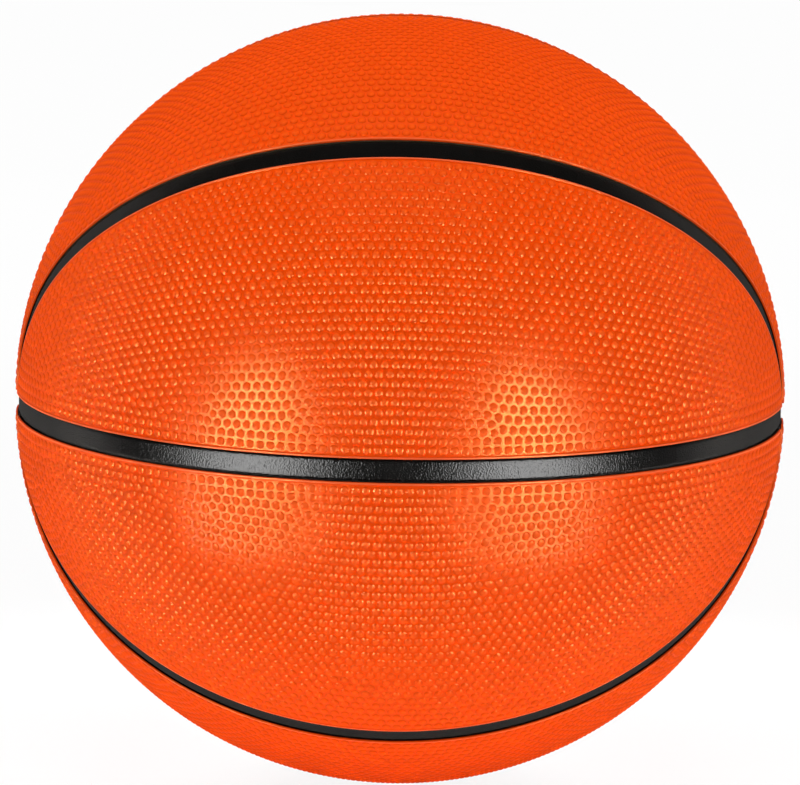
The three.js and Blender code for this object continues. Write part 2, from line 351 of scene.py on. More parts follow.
class ValveOutline(OvalOutline):
    """The half oval panel with the valve's hole in it."""

    def __init__(self):
        super().__init__()
        turn_back = QUARTERS[VALVE_QUARTER].to_3x3().inverted()
        self.valve = turn_back @ VALVE_AXIS
        self.hole = bpy.context.scene.ball_valve.hole_radius
        self.loops.append([self.hole_side])

    def hole_side(self, inset, share):
        tilt = angle_of(self.hole + inset)
        turn = -2 * math.pi * share
        ring = math.sin(tilt)
        point = Vector((ring * math.cos(turn), ring * math.sin(turn), math.cos(tilt)))
        return UP.rotation_difference(self.valve) @ point

    def room(self, point):
        return min(super().room(point), distance_of(point.angle(self.valve)) - self.hole)


class BandOutline(PanelOutline):
    """The band panel between the oval and the meridian channels."""

    middle = polar(math.pi / 2, math.radians(68))

    def __init__(self):
        super().__init__()
        self.loops = [[self.meridian_side, self.left_side, self.oval_side, self.right_side]]

    def meridian_side(self, inset, share):
        return self.seam_line(meridian_edge, 1, inset, share)

    def oval_side(self, inset, share):
        return self.seam_line(oval_edge, 1, inset, 1 - share)

    def left_side(self, inset, share):
        return self.equator_line(self.meridian_side(inset, 1), self.oval_side(inset, 0), inset, share)

    def right_side(self, inset, share):
        return self.equator_line(self.oval_side(inset, 1), self.meridian_side(inset, 0), inset, share)

    def room(self, point):
        return min(equator_room(point), oval_room(point), meridian_room(point)) - self.half_channel


def even_shares(side, inset, spacing):
    """Shares of a side that lie evenly along it, from its start and without its end."""
    samples = [side(inset, i / LINE_SAMPLES) for i in range(LINE_SAMPLES + 1)]
    radius = cover_sizes().radius
    travelled = [0.0]
    for here, there in zip(samples, samples[1:]):
        travelled.append(travelled[-1] + (there - here).length * radius)
    count = max(1, round(travelled[-1] / spacing))
    shares = []
    step = 0
    for i in range(count):
        target = travelled[-1] * i / count
        while travelled[step + 1] <= target:
            step += 1
        part = (target - travelled[step]) / (travelled[step + 1] - travelled[step])
        shares.append((step + part) / LINE_SAMPLES)
    return shares


# Pebbled panels


def even_points(middle, spacing):
    """Points in even rows over the half of the ball round a middle, each with the same room."""
    radius = cover_sizes().radius
    turn = UP.rotation_difference(middle)
    row_step = spacing * math.sqrt(3) / 2
    rows = round(math.sqrt(2) * radius / row_step)
    for row in range(-rows, rows + 1):
        for column in range(-rows, rows + 1):
            flat = Vector((column + row % 2 / 2, row * math.sqrt(3) / 2)) * spacing / radius
            if flat.length < math.sqrt(2):
                level = 1 - flat.length_squared / 2
                flat *= math.sqrt(1 - flat.length_squared / 4)
                yield turn @ Vector((*flat, level))


# This mark places the painted highlight on each bead's crest
BEAD_HIGHLIGHT_MARK = "bead"  # attribute that is 1 along the crest of a panel's bead


class PanelMesh:
    """One cover panel: pebbles on a land, a bead along each edge, walls and an under side."""

    # Rings of a pebble's dome: share of its radius, share of its height
    DOME = ((0.81, 0.42), (0.45, 0.83))
    CUT = 40  # where a pebble's foot is cut first, in percent of the way to its neighbours
    LARGEST = 1.15  # of a pebble's reach, as a share of the usual one
    CORNER = 0.4  # how far a pebble's foot goes out between two neighbours
    EVEN = 0.3  # share of its mean reach in a pebble's radius
    EDGE_ROWS = (2, 1)  # rows of pebbles that follow the outer edge, and a hole's
    # The bead's outline from its foot to the wall: share of its width from the wall, share of its height
    BEAD = ((0.88, 0.5), (0.7, 0.88), (0.48, 1.0), (0.22, 0.9), (0.06, 0.55), (0.0, 0.0))
    PUSH_REACH = 1.2  # how far neighbours push each other off, as a share of the pitch
    PUSH = 0.2  # share of the push that one step makes
    OPEN_EDGE = 0.3 * MM  # where the edge stands while the pebbles are cut, so that they stay round
    RING_INSET = 0.1 * MM  # of a dome's new ring, before it is set in its place
    SIDEWAYS = 0.5  # cosine above which a neighbour shapes a pebble's foot
    LEAST_WEIGHT = 1e-6  # of the other neighbours
    HIGHLIGHT_CREST = 0.8  # share of the bead's height above which its crest gets the painted highlight

    def __init__(self, outline):
        self.outline = outline
        self.cover = cover_sizes()
        self.land = self.cover.radius - self.cover.pebble_height
        self.clear = self.cover.first_row + self.cover.row_step + self.cover.pebble_pitch / 2
        self.edge_shares = [
            [(side, even_shares(side, 0, EDGE_STEP)) for side in loop] for loop in outline.loops
        ]
        self.bm = bmesh.new()
        self.rank = self.bm.verts.layers.int.new("edge_rank")  # place along the edges, from 1
        self.bm.verts.layers.float.new(BEAD_HIGHLIGHT_MARK)

    def edge_points(self, inset):
        """The panel's edge points at a distance in from the walls, one list for each loop."""
        return [
            [side(inset, share) for side, shares in loop for share in shares] for loop in self.edge_shares
        ]

    def build(self):
        """Makes the whole panel and returns its mesh."""
        pebbles = self.lay_out()
        self.copy_under_side()
        self.cut_pebbles(pebbles)
        self.raise_edge()
        bmesh.ops.recalc_face_normals(self.bm, faces=self.bm.faces)
        for face in self.bm.faces:
            face.smooth = True
        mesh = bpy.data.meshes.new("panel")
        self.bm.to_mesh(mesh)
        self.bm.free()
        return mesh

    def lay_out(self):
        """Triangles between the pebbles' middles and the edge, evened out. Returns the middles."""
        pitch = self.cover.pebble_pitch
        loops = self.edge_points(self.OPEN_EDGE)
        edge = [point for loop in loops for point in loop]
        rows = self.edge_rows()
        spread = even_points(self.outline.middle, pitch)
        inner = [point for point in spread if self.outline.room(point) > self.clear]
        points = edge + rows + inner
        verts = [self.bm.verts.new(point * self.land) for point in points]
        for i in range(len(edge)):
            verts[i][self.rank] = i + 1
        for triangle in self.triangles(points, loops):
            self.bm.faces.new([verts[i] for i in triangle])
        self.relax(verts[len(edge) + len(rows) :])
        return verts[len(edge) :]

    def edge_rows(self):
        """The pebbles that follow the edges, row behind row."""
        points = []
        for loop, count in zip(self.outline.loops, self.EDGE_ROWS):
            for row in range(count):
                inset = self.cover.first_row + row * self.cover.row_step
                for side in loop:
                    shares = even_shares(side, inset, self.cover.pebble_pitch)
                    points += [side(inset, share) for share in shares]
        return points

    def triangles(self, points, loops):
        """Triangles between points inside the edge, by a flat map that keeps circles round."""
        turn = self.outline.middle.rotation_difference(UP)
        flat = []
        for point in points:
            turned = turn @ point
            flat.append(Vector((turned.x, turned.y)) / (1 + turned.z))
        borders = []
        hole_ranks = set()
        start = 0
        for loop in loops:
            ranks = range(start, start + len(loop))
            borders += [(i, start + (i + 1 - start) % len(loop)) for i in ranks]
            if start:
                hole_ranks.update(ranks)
            start += len(loop)
        inside_borders, epsilon = 1, 1e-9
        _, _, faces, sources, _, _ = delaunay_2d_cdt(flat, borders, [], inside_borders, epsilon)
        triangles = [[sources[i][0] for i in face] for face in faces]
        return [triangle for triangle in triangles if not hole_ranks.issuperset(triangle)]

    def relax(self, loose):
        """Evens out loose vertices: each is pushed off its neighbours until all are about as far apart."""
        apart = self.PUSH_REACH * self.cover.pebble_pitch
        for _ in range(RELAX_STEPS):
            pushed = []
            for vert in loose:
                push = Vector()
                for edge in vert.link_edges:
                    away = vert.co - edge.other_vert(vert).co
                    push += away * max(0, apart / away.length - 1)
                pushed.append(vert.co + push * self.PUSH)
            for vert, place in zip(loose, pushed):
                vert.co = place.normalized() * self.land
            inner_edges = [edge for edge in self.bm.edges if not edge.is_boundary]
            bmesh.ops.beautify_fill(self.bm, faces=self.bm.faces, edges=inner_edges, method="ANGLE")

    def copy_under_side(self):
        """A plain copy of the layout at the panel's inside."""
        whole = self.bm.verts[:] + self.bm.edges[:] + self.bm.faces[:]
        copied = bmesh.ops.duplicate(self.bm, geom=whole)["geom"]
        verts = [item for item in copied if isinstance(item, bmesh.types.BMVert)]
        walls = sum(self.edge_points(0), [])
        for vert in verts:
            point = walls[vert[self.rank] - 1] if vert[self.rank] else vert.co.normalized()
            vert.co = point * self.cover.inside

    def cut_pebbles(self, pebbles):
        """Cuts each pebble's foot out of the land and raises a dome on it."""
        nearest = self.measure(pebbles)
        cut = bmesh.ops.bevel(
            self.bm,
            geom=pebbles,
            offset=self.CUT,
            offset_type="PERCENT",
            affect="VERTICES",
            segments=1,
            profile=0.5,
            material=-1,
        )
        faces = cut["faces"]
        rims = {edge for face in faces for edge in face.edges}
        bmesh.ops.bisect_edges(self.bm, edges=list(rims), cuts=1)
        feet = []
        for face in faces:
            for edge in face.edges:
                edge.smooth = False
            middle, reaches = nearest(face.calc_center_median())
            outwards = [(vert.co.normalized() - middle).normalized() for vert in face.verts]
            feet.append((middle, [way * self.foot_radius(reaches, way) / self.land for way in outwards]))
        self.place_rings(faces, feet, 1, 0)
        for share, height in self.DOME:
            bmesh.ops.inset_individual(
                self.bm, faces=faces, thickness=self.RING_INSET, use_even_offset=False
            )
            self.place_rings(faces, feet, share, height)
        for top in bmesh.ops.poke(self.bm, faces=faces)["verts"]:
            top.co = top.co.normalized() * self.cover.radius

    def measure(self, pebbles):
        """How far each pebble may reach towards its neighbours, as a function that finds it by place."""
        land_width = self.cover.land_width
        usual = (self.cover.pebble_pitch - land_width) / 2
        tree = KDTree(len(pebbles))
        found = []
        for i, pebble in enumerate(pebbles):
            reaches = []
            for edge in pebble.link_edges:
                other = edge.other_vert(pebble)
                way = other.co - pebble.co
                free = usual if other[self.rank] else (way.length - land_width) / 2
                reaches.append((way.normalized(), min(free, usual * self.LARGEST)))
            found.append((pebble.co.normalized(), reaches))
            tree.insert(pebble.co, i)
        tree.balance()
        return lambda place: found[tree.find(place)[1]]

    def foot_radius(self, reaches, outwards):
        """A pebble's radius in a direction, from its reaches towards the neighbours on both sides of it."""
        close = [max(0, way.dot(outwards)) for way, _ in reaches]
        weights = [max(self.LEAST_WEIGHT, share - self.SIDEWAYS) ** 2 for share in close]
        near = sum(weight * room for weight, (_, room) in zip(weights, reaches)) / sum(weights)
        mean = sum(room for _, room in reaches) / len(reaches)
        return (near + self.EVEN * (mean - near)) * (1 + self.CORNER * (1 - max(close)))

    def place_rings(self, faces, feet, share, height):
        """Sets each face's corners in a ring, at a share of its pebble's foot and of its height."""
        level = self.land + height * self.cover.pebble_height
        for face, (middle, offsets) in zip(faces, feet):
            for vert, offset in zip(face.verts, offsets):
                vert.co = (middle + offset * share).normalized() * level

    def raise_edge(self):
        """Slides the land's edge to the bead's foot, then carries it over the bead and down the wall."""
        cover = self.cover
        rank = self.bm.verts.layers.int["edge_rank"]
        highlight_mark = self.bm.verts.layers.float[BEAD_HIGHLIGHT_MARK]
        half_way = (cover.inside + self.land) / 2
        under = {vert for vert in self.bm.verts if vert[rank] and vert.co.length < half_way}
        rim = [edge for edge in self.bm.edges if edge.is_boundary and not under.intersection(edge.verts)]
        foot = sum(self.edge_points(cover.bead_width), [])
        for vert in {vert for edge in rim for vert in edge.verts}:
            vert.co = foot[vert[rank] - 1] * self.land
        # The bead's crest, above this level, is marked for the painted highlight
        crest = self.land + self.HIGHLIGHT_CREST * cover.bead_height
        wide, high = cover.bead_width, cover.bead_height
        steps = [(inset * wide, self.land + rise * high) for inset, rise in self.BEAD]
        for inset, level in steps + [(0, cover.inside)]:
            points = sum(self.edge_points(inset), [])
            grown = bmesh.ops.extrude_edge_only(self.bm, edges=rim)["geom"]
            rim = [item for item in grown if isinstance(item, bmesh.types.BMEdge) and item.is_boundary]
            for vert in {vert for edge in rim for vert in edge.verts}:
                vert.co = points[vert[rank] - 1] * level
                vert[highlight_mark] = 1.0 if level > crest else 0.0
        last = {vert for edge in rim for vert in edge.verts}
        bmesh.ops.remove_doubles(self.bm, verts=list(last | under), dist=WELD)


# Shapes turned on an axis or bent onto the ball


def spun(outline, steps, axis=UP):
    """A closed shape from an outline of radius and level, spun about an axis through the ball's centre."""
    bm = bmesh.new()
    corners = [bm.verts.new((radius, 0, level)) for radius, level in outline]
    edges = [bm.edges.new(pair) for pair in zip(corners, corners[1:] + corners[:1])]
    bmesh.ops.spin(
        bm,
        geom=corners + edges,
        axis=UP,
        angle=2 * math.pi,
        steps=steps,
        use_merge=True,
        use_duplicate=False,
    )
    bmesh.ops.remove_doubles(bm, verts=bm.verts, dist=WELD)
    bmesh.ops.recalc_face_normals(bm, faces=bm.faces)
    bmesh.ops.rotate(bm, verts=bm.verts, matrix=UP.rotation_difference(axis).to_matrix())
    return bm


def arc(radius, start, end, steps):
    """Points of radius and level along an arc about the ball's centre, by angles from the axis."""
    angles = [start + (end - start) * i / steps for i in range(steps + 1)]
    return [(radius * math.sin(turn), radius * math.cos(turn)) for turn in angles]


def finished(bm, name):
    """Turns a bmesh into a mesh with smooth faces and its sharp edges kept."""
    for face in bm.faces:
        face.smooth = True
    for edge in bm.edges:
        edge.smooth = len(edge.link_faces) == 2 and edge.calc_face_angle(0) < SMOOTH_UP_TO
    mesh = bpy.data.meshes.new(name)
    bm.to_mesh(mesh)
    bm.free()
    return mesh


def strip_half_width():
    """Half the width of a channel strip."""
    cover = cover_sizes()
    return cover.channel_width / 2 - cover.strip_gap


def strip_row(share):
    """How far across and how high a strip's row lies, by its share from side to side, -1 to 1."""
    cover = cover_sizes()
    half_width = strip_half_width()
    across = math.sin(share * math.pi / 2) * half_width
    shoulder = max(0, abs(across) - half_width + cover.shoulder_width) / cover.shoulder_width
    hollow = cover.strip_hollow * (1 - (across / half_width) ** 2)
    return across, cover.strip_radius - hollow - cover.shoulder_drop * shoulder**2


def ribbon(line, run):
    """A channel strip: a grid laid along a line on the ball, shaped across and given its thickness."""
    cover = cover_sizes()
    bm = bmesh.new()
    bmesh.ops.create_grid(bm, x_segments=round(run / STRIP_STEP), y_segments=STRIP_ROWS, size=0.5)
    for vert in bm.verts:
        across, level = strip_row(2 * vert.co.y)
        vert.co = line(across, vert.co.x + 0.5) * level
    bmesh.ops.recalc_face_normals(bm, faces=bm.faces)
    thickness = cover.strip_radius - cover.inside - cover.shoulder_drop
    bmesh.ops.solidify(bm, geom=bm.faces[:], thickness=thickness)
    bmesh.ops.recalc_face_normals(bm, faces=bm.faces)
    return finished(bm, "strip")


# Materials


class Link:
    """An output socket. Arithmetic on it adds Math nodes to its material."""

    def __init__(self, socket):
        self.socket = socket

    def node(self, kind, settings=(), inputs=(), output=0):
        """Adds a node: first its settings, then the values or links of its sockets."""
        node = self.socket.id_data.nodes.new(kind)
        for name, value in dict(settings).items():
            setattr(node, name, value)
        set_sockets(node, dict(inputs))
        return Link(node.outputs[output])

    def maths(self, operation, first, second=0.0):
        return self.node("ShaderNodeMath", {"operation": operation}, {0: first, 1: second})

    def __add__(self, other):
        return self.maths("ADD", self, other)

    def __sub__(self, other):
        return self.maths("SUBTRACT", self, other)

    def __mul__(self, other):
        return self.maths("MULTIPLY", self, other)

    def __truediv__(self, other):
        return self.maths("DIVIDE", self, other)

    def __radd__(self, other):
        return self.maths("ADD", other, self)

    def __rsub__(self, other):
        return self.maths("SUBTRACT", other, self)

    def __rmul__(self, other):
        return self.maths("MULTIPLY", other, self)

    def __rtruediv__(self, other):
        return self.maths("DIVIDE", other, self)


def opaque(rgb):
    """A colour property as a socket's four numbers."""
    return (*rgb, 1.0)


def start_finish(name):
    """A new material: itself, its shader and a link to Object coordinates."""
    material = bpy.data.materials.new(name)
    material.use_nodes = True
    tree = material.node_tree
    shader = tree.nodes["Principled BSDF"]
    return material, shader, Link(tree.nodes.new("ShaderNodeTexCoord").outputs["Object"])


def set_sockets(node, inputs):
    """Sets a node's sockets to values or links."""
    for name, value in inputs.items():
        if isinstance(value, Link):
            node.id_data.links.new(value.socket, node.inputs[name])
        else:
            node.inputs[name].default_value = value


def limited(link):
    """A value held between 0 and 1."""
    return link.node("ShaderNodeClamp", inputs={"Value": link})


def ramp(link, start, end):
    """0 where a value is at the start and 1 where it is at the end, held between them."""
    return limited((link - start) / (end - start))


def noise(place, size, detail=2.0):
    """Soft random values from 0 to 1, by the size of their patches."""
    inputs = {"Vector": place, "Scale": 1 / size, "Detail": detail}
    return place.node("ShaderNodeTexNoise", inputs=inputs, output="Fac")


def blended(share, first, second):
    """A colour between two colours."""
    return share.node(
        "ShaderNodeMix", {"data_type": "RGBA"}, {"Factor": share, 6: first, 7: second}, output=2
    )


def bumped(height, distance, strength=1.0):
    """A normal from a height."""
    inputs = {"Height": height, "Distance": distance, "Strength": strength}
    return height.node("ShaderNodeBump", inputs=inputs, output="Normal")


def radius_of(place):
    """Distance from the ball's centre."""
    return place.node("ShaderNodeVectorMath", {"operation": "LENGTH"}, {0: place}, "Value")


def slant_of(place):
    """0 where the surface faces the viewer and 1 where it turns away."""
    return place.node("ShaderNodeLayerWeight", inputs={"Blend": 0.5}, output="Facing")


# Where the cover's finish changes, as shares of a pebble's height
# Where the painted shade in the crease round each pebble comes and goes
CREASE_SHADE_COMES = (0.0, 0.08)
CREASE_SHADE_GOES = (0.45, 0.15)
MATT_TOP = (0.58, 0.88)
PAINT_TOP, PAINT_FULL = 0.25 * MM, 0.4 * MM  # how far below the land the channel's paint fades in
SLANT = (0.3, 0.6)  # how far a surface turns away from the viewer as it goes matt
# Shares of the painted shade in the crease and of the painted highlight on the bead's crest, in the cover's
# colour
CREASE_SHADE_SHARE, BEAD_HIGHLIGHT_SHARE = 0.3, 0.4  # of these colours in the cover's
TOP_MATT, SLANT_MATT, CHANNEL_MATT = 0.8, 0.5, 0.8  # added to the roughness there
COVER_SPECULAR, CHANNEL_SPECULAR, RUBBER_SPECULAR = 0.07, 0.027, 0.02
THREAD_PITCH = 1.2 * MM
WAVES = 6  # that a wave texture has in a unit, about


def cover_finish():
    """Pebbled orange rubber with painted shade, deeper orange in the land and browner in the crease round
    each pebble, and a painted salmon highlight on each bead's crest; matt on the pebbles' tops and where it
    turns away, and black where the channel's paint climbs the wall."""
    cover, colours = cover_sizes(), bpy.context.scene.ball_finish
    material, shader, place = start_finish("pebbled_cover")
    land = cover.radius - cover.pebble_height
    rise = ramp(radius_of(place), land, cover.radius)
    painted = ramp(radius_of(place), land - PAINT_TOP, land - PAINT_FULL)
    # Painted shade: a browner ring in the crease at the foot of each pebble
    crease = ramp(rise, *CREASE_SHADE_COMES) * ramp(rise, *CREASE_SHADE_GOES)
    # Painted shade: the orange deepens from the pebbles' tops down into the land between them
    orange = blended(rise, opaque(colours.land), opaque(colours.cover))
    orange = blended(CREASE_SHADE_SHARE * crease, orange, opaque(colours.crease))
    # Painted highlight: salmon on the crest of each bead
    bead = place.node("ShaderNodeAttribute", {"attribute_name": BEAD_HIGHLIGHT_MARK}, output="Fac")
    orange = blended(BEAD_HIGHLIGHT_SHARE * bead, orange, opaque(colours.bead))
    grain = noise(place, 0.25 * MM, 3.0)
    matt = TOP_MATT * ramp(rise, *MATT_TOP) + SLANT_MATT * ramp(slant_of(place), *SLANT)
    set_sockets(
        shader,
        {
            "Base Color": blended(painted, orange, opaque(colours.channel)),
            "Roughness": limited(0.2 + 0.06 * grain + matt),
            "Specular IOR Level": COVER_SPECULAR,
            "Specular Tint": opaque(colours.cover_gloss),
            "Normal": bumped(grain, 0.02 * MM, 0.5),
        },
    )
    return material


def channel_finish():
    """Black grained rubber of the channels, matt where it turns away."""
    material, shader, place = start_finish("grained_channel")
    grain = noise(place, 0.45 * MM, 0.0)
    wear = noise(place, 6 * MM)
    matt = CHANNEL_MATT * ramp(slant_of(place), *SLANT)
    colours = bpy.context.scene.ball_finish
    pale = [1.6 * part for part in colours.channel]
    set_sockets(
        shader,
        {
            "Base Color": blended(wear, opaque(colours.channel), opaque(pale)),
            "Roughness": limited(0.16 + 0.06 * wear + matt),
            "Specular IOR Level": CHANNEL_SPECULAR,
            "Normal": bumped(grain, 0.12 * MM),
        },
    )
    return material


def rubber_finish(name, rgb, roughness):
    """Plain moulded rubber with a faint bloom."""
    material, shader, place = start_finish(name)
    bloom = noise(place, 4 * MM, 4.0)
    pale = [min(1, 1.8 * part + 0.004) for part in rgb]
    set_sockets(
        shader,
        {
            "Base Color": blended(bloom, opaque(rgb), opaque(pale)),
            "Roughness": roughness + 0.15 * bloom,
            "Specular IOR Level": RUBBER_SPECULAR,
            "Normal": bumped(noise(place, 0.3 * MM), 0.02 * MM),
        },
    )
    return material


def thread_finish():
    """Nylon thread wound over and over the ball in many directions."""
    material, shader, place = start_finish("wound_thread")
    colours = bpy.context.scene.ball_finish
    patch = noise(place, 14 * MM)
    thread = place.node(
        "ShaderNodeTexWave",
        {"wave_type": "BANDS", "bands_direction": "DIAGONAL"},
        {"Vector": place, "Scale": 1 / (THREAD_PITCH * WAVES), "Distortion": 3.0, "Detail": 1.0},
        "Fac",
    )
    dark = [0.6 * part for part in colours.thread]
    set_sockets(
        shader,
        {
            "Base Color": blended(thread, opaque(dark), opaque(colours.thread)),
            "Roughness": 0.55 + 0.2 * patch,
            "Normal": bumped(thread, 0.2 * MM),
        },
    )
    return material


def add_piece(name, mesh, material, body, slot, *nodes):
    """Puts a mesh in the scene as a piece that stands for CAD nodes and rides on their body."""
    mesh.name = name
    mesh.materials.clear()
    mesh.materials.append(material)
    piece = bpy.data.objects.new(name, mesh)
    bpy.context.scene.collection.objects.link(piece)
    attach(piece, body)
    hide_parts(*nodes)


def add_turned(name, mesh, turn, material, body, slot, *nodes):
    """Adds a copy of a mesh, turned into another quarter."""
    copy = mesh.copy()
    copy.transform(turn)
    add_piece(name, copy, material, body, slot, *nodes)


class BALL_OT_oval_panels(bpy.types.Operator):
    """Add the four half oval panels of the cover, one with the valve's hole."""

    bl_idname = "ball.oval_panels"
    bl_label = "Oval panels"

    def execute(self, context):
        material = cover_finish()
        plain = PanelMesh(OvalOutline()).build()
        with_hole = PanelMesh(ValveOutline()).build()
        for quarter, turn in QUARTERS.items():
            mesh = with_hole if quarter == VALVE_QUARTER else plain
            node = quarter + "_oval_panel"
            add_turned(quarter + "_oval_cover", mesh, turn, material, "ball", "cover", node)
        return {"FINISHED"}


class BALL_OT_band_panels(bpy.types.Operator):
    """Add the four band panels of the cover."""

    bl_idname = "ball.band_panels"
    bl_label = "Band panels"

    def execute(self, context):
        material = cover_finish()
        mesh = PanelMesh(BandOutline()).build()
        for quarter, turn in QUARTERS.items():
            node = quarter + "_band_panel"
            add_turned(quarter + "_band_cover", mesh, turn, material, "ball", "cover", node)
        return {"FINISHED"}


class BALL_OT_channel_strips(bpy.types.Operator):
    """Add the black strips in the oval, meridian and equator channels."""

    bl_idname = "ball.channel_strips"
    bl_label = "Channel strips"

    def execute(self, context):
        cover = cover_sizes()
        material = channel_finish()
        lift = angle_of(strip_half_width())
        half_turn = math.pi * cover.radius

        def oval_line(across, share):
            return along_edge(oval_edge(across), lift, share)

        def meridian_line(across, share):
            return along_edge(meridian_edge(across), lift, share)

        oval_mesh = ribbon(oval_line, half_turn * OVAL_RUN)
        for quarter, turn in QUARTERS.items():
            node = quarter + "_oval_strip"
            add_turned(quarter + "_oval_channel", oval_mesh, turn, material, "ball", "channel", node)
        meridian_mesh = ribbon(meridian_line, half_turn)
        for half, turn in {"upper": QUARTERS["front_upper"], "lower": QUARTERS["front_lower"]}.items():
            node = half + "_meridian_strip"
            add_turned(half + "_meridian_channel", meridian_mesh, turn, material, "ball", "channel", node)
        add_piece("equator_channel", self.ring(cover), material, "ball", "channel", "equator_strip")
        return {"FINISHED"}

    def ring(self, cover):
        """The equator's strip, spun round the ball's axis."""
        rows = [strip_row(1 - 2 * i / STRIP_ROWS) for i in range(STRIP_ROWS + 1)]
        rows += [(across, cover.inside) for across in (-strip_half_width(), strip_half_width())]
        outline = []
        for across, level in rows:
            lift = angle_of(across)
            outline.append((level * math.cos(lift), level * math.sin(lift)))
        return finished(spun(outline, RING_STEPS), "strip")


class BALL_OT_inner_layers(bpy.types.Operator):
    """Add the carcass, the wound thread and the bladder, each with its hole for the valve."""

    bl_idname = "ball.inner_layers"
    bl_label = "Inner layers"

    def execute(self, context):
        colours = context.scene.ball_finish
        carcass_rubber = rubber_finish("carcass_rubber", colours.carcass, 0.7)
        bladder_rubber = rubber_finish("bladder_rubber", colours.bladder, 0.45)
        layers = (
            ("carcass_layer", "carcass", "carcass", carcass_rubber),
            ("thread_layer", "nylon_winding", "winding", thread_finish()),
            ("bladder_layer", "bladder", "bladder", bladder_rubber),
        )
        for name, node, slot, material in layers:
            add_piece(name, self.shell(node), material, "ball", slot, node)
        return {"FINISHED"}

    def shell(self, node):
        """A hollow layer between a node's own radii, with the valve's hole."""
        hole = bpy.context.scene.ball_valve.hole_radius
        outside, inside = reach(node, max), reach(node, min)
        outer = arc(outside, math.asin(hole / outside), math.pi, LAYER_STEPS)
        inner = arc(inside, math.pi, math.asin(hole / inside), LAYER_STEPS)
        return finished(spun(outer + inner, LAYER_STEPS, VALVE_AXIS), "layer")


def rounded(bm, offset):
    """Rounds the sharp edges of a shape."""
    sharp = [edge for edge in bm.edges if edge.calc_face_angle(0) > ROUND_FROM]
    bmesh.ops.bevel(
        bm,
        geom=sharp,
        offset=offset,
        affect="EDGES",
        segments=2,
        profile=0.5,
        material=-1,
        clamp_overlap=True,
    )
    return bm


class BALL_OT_valve_housing(bpy.types.Operator):
    """Add the valve's rubber housing, from its flange under the bladder to its face in the cover."""

    bl_idname = "ball.valve_housing"
    bl_label = "Valve housing"

    def execute(self, context):
        valve = context.scene.ball_valve
        seat = reach("bladder", min) - valve.fit_gap
        flange_top = math.sqrt(seat**2 - valve.flange_radius**2)
        flange_foot = flange_top - valve.flange_thickness
        inner_end = min(flange_foot - valve.boss_length, valve.face - valve.plug_length - valve.fit_gap)
        shoulder = valve.face - valve.plug_head_height - valve.fit_gap
        head_hole = valve.plug_head_radius + valve.fit_gap
        shank_hole = valve.plug_shank_radius + valve.fit_gap
        rim, throat = math.asin(valve.flange_radius / seat), math.asin(valve.neck_radius / seat)
        crown = arc(seat, rim, throat, CROWN_STEPS)
        outline = [
            (shank_hole, inner_end),
            (shank_hole, shoulder),
            (head_hole, shoulder),
            (head_hole, valve.face),
            (valve.neck_radius, valve.face),
            *reversed(crown),
            (valve.flange_radius, flange_foot),
            (valve.boss_radius, flange_foot),
            (valve.boss_radius, inner_end),
        ]
        material = rubber_finish("housing_rubber", context.scene.ball_finish.valve, 0.5)
        mesh = finished(rounded(spun(outline, VALVE_STEPS, VALVE_AXIS), valve.edge), "housing")
        add_piece("valve_housing", mesh, material, "ball", "valve", "valve_seat")
        return {"FINISHED"}


class BALL_OT_valve_stopper(bpy.types.Operator):
    """Add the rubber plug that sits in the valve's housing and takes the pump's needle."""

    bl_idname = "ball.valve_stopper"
    bl_label = "Valve stopper"

    def execute(self, context):
        valve = context.scene.ball_valve
        inner_end = valve.face - valve.plug_length
        shoulder = valve.face - valve.plug_head_height
        outline = [
            (0, inner_end),
            (valve.plug_shank_radius - valve.plug_taper / 2, inner_end),
            (valve.plug_shank_radius, inner_end + valve.plug_taper),
            (valve.plug_shank_radius, shoulder),
            (valve.plug_head_radius, shoulder),
            (valve.plug_head_radius, valve.face),
            (valve.needle_radius, valve.face),
            (valve.needle_radius, valve.face - valve.needle_depth),
            (0, valve.face - valve.needle_depth),
        ]
        material = rubber_finish("stopper_rubber", context.scene.ball_finish.valve, 0.4)
        mesh = finished(rounded(spun(outline, VALVE_STEPS, VALVE_AXIS), valve.edge), "stopper")
        add_piece("valve_stopper", mesh, material, "valve_plug", "valve", "valve_plug")
        return {"FINISHED"}


